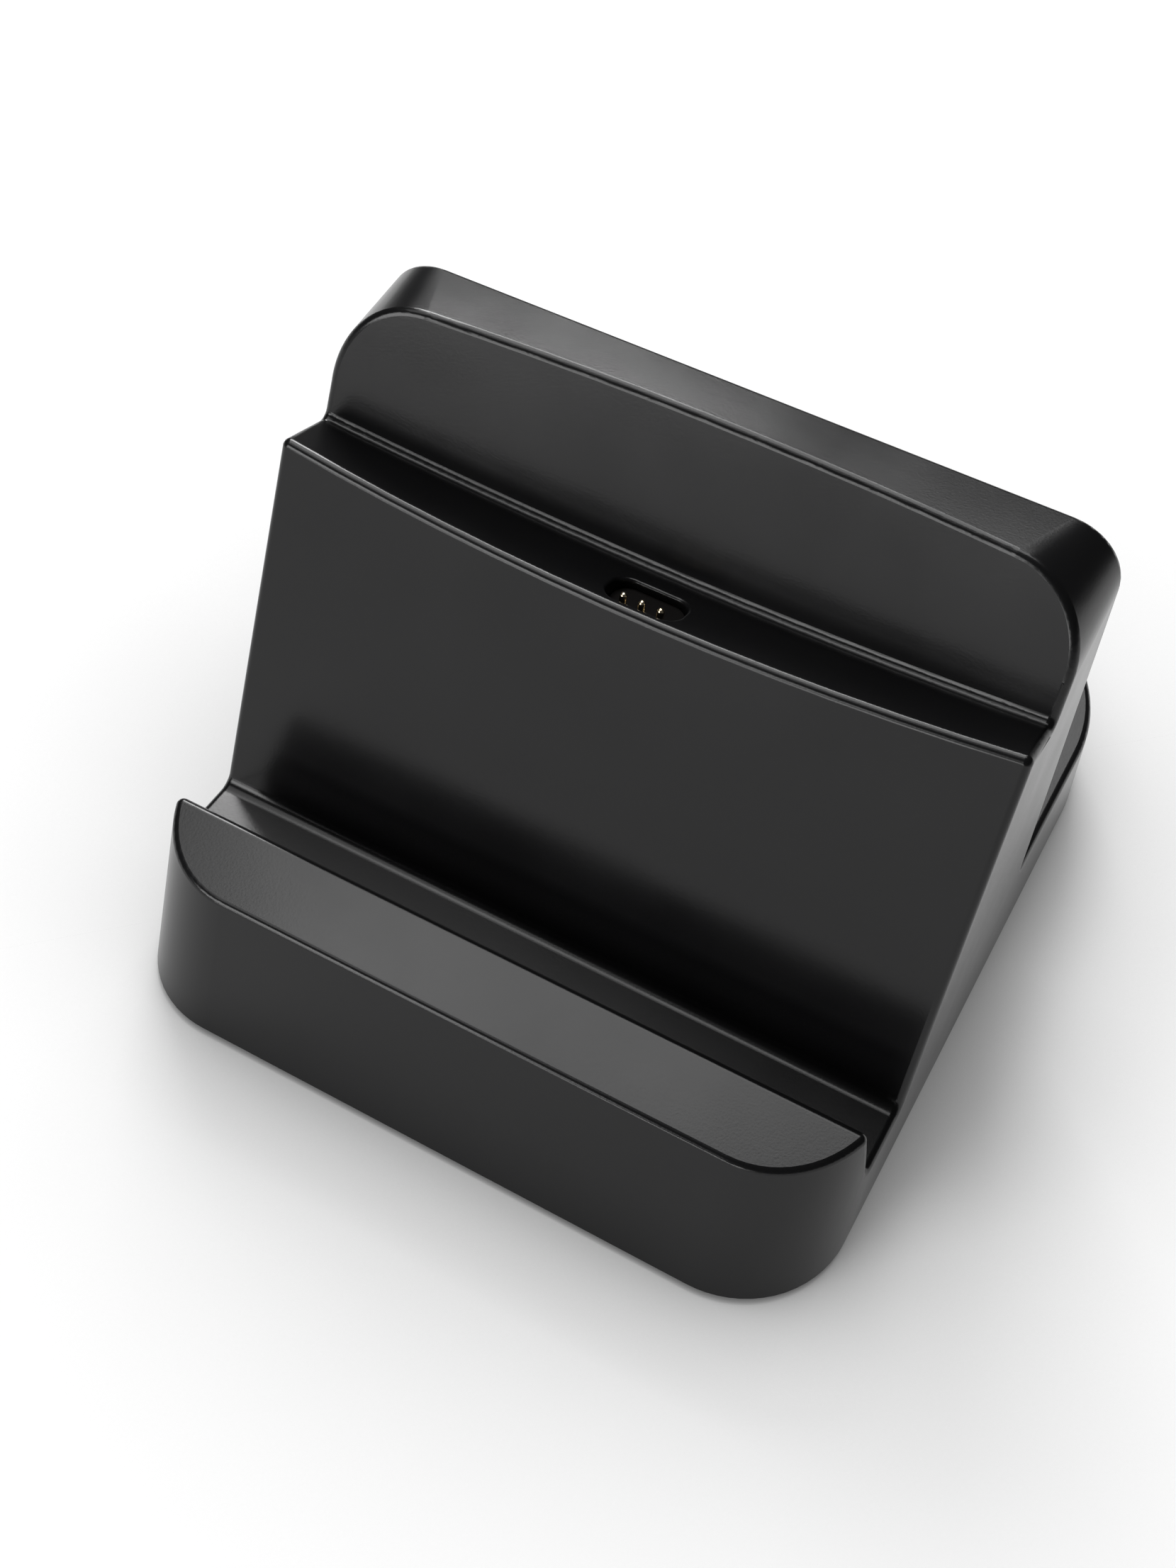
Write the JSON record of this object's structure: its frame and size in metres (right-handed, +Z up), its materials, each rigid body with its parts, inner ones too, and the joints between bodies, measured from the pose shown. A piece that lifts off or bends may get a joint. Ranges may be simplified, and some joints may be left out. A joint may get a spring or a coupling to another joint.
{
  "type": "handheld console dock",
  "caption": "Moulded stand for a handheld console: front tray with a raised lip, wall that leans back, ledge with spring contacts, back plate and a low rear foot with a power inlet.",
  "frame": {"origin": "on the standing surface, below the middle of the base", "axes": "+X to the right seen from the front, +Y from the tray to the rear foot, +Z up"},
  "size_m": [0.104, 0.1312, 0.0816],
  "materials": {
    "housing_plastic": "satin black moulded plastic",
    "cover_plastic": "matt black moulded plastic",
    "foot_rubber": "matt dark grey rubber",
    "screw_steel": "blackened steel",
    "contact_insulator": "matt black insulator",
    "board": "green circuit board",
    "magnet": "nickel plated",
    "gold": "gold plated",
    "steel": "bright steel",
    "wire": "insulated wire"
  },
  "bodies": {
    "dock": {"base_cover": "cover_plastic", "board_screw_front_left": "screw_steel", "board_screw_front_right": "screw_steel", "board_screw_rear_left": "screw_steel", "board_screw_rear_right": "screw_steel", "contact_barrel_left": "gold", "contact_barrel_middle": "gold", "contact_barrel_right": "gold", "contact_block": "contact_insulator", "contact_board": "board", "contact_screw_left": "screw_steel", "contact_screw_right": "screw_steel", "contact_spring_left": "steel", "contact_spring_middle": "steel", "contact_spring_right": "steel", "cover_screw_front_left": "screw_steel", "cover_screw_front_right": "screw_steel", "cover_screw_rear_left": "screw_steel", "cover_screw_rear_right": "screw_steel", "foot_front_left": "foot_rubber", "foot_front_right": "foot_rubber", "foot_rear_left": "foot_rubber", "foot_rear_right": "foot_rubber", "housing": "housing_plastic", "inlet_shell": "steel", "inlet_tongue": "contact_insulator", "magnet_left": "magnet", "magnet_right": "magnet", "main_board": "board", "wire_left": "wire", "wire_middle": "wire", "wire_right": "wire"},
    "contact_left": {"contact_plunger_left": "gold"},
    "contact_middle": {"contact_plunger_middle": "gold"},
    "contact_right": {"contact_plunger_right": "gold"}
  },
  "joints": [
    {"name": "contact_left_press", "type": "slide", "parent": "dock", "child": "contact_left", "axis": [0, 0, 1], "range_m": [-0.0009, 0], "stiffness_N_per_m": 700, "deforming": ["contact_spring_left"]},
    {"name": "contact_middle_press", "type": "slide", "parent": "dock", "child": "contact_middle", "axis": [0, 0, 1], "range_m": [-0.0009, 0], "stiffness_N_per_m": 700, "deforming": ["contact_spring_middle"]},
    {"name": "contact_right_press", "type": "slide", "parent": "dock", "child": "contact_right", "axis": [0, 0, 1], "range_m": [-0.0009, 0], "stiffness_N_per_m": 700, "deforming": ["contact_spring_right"]}
  ]
}
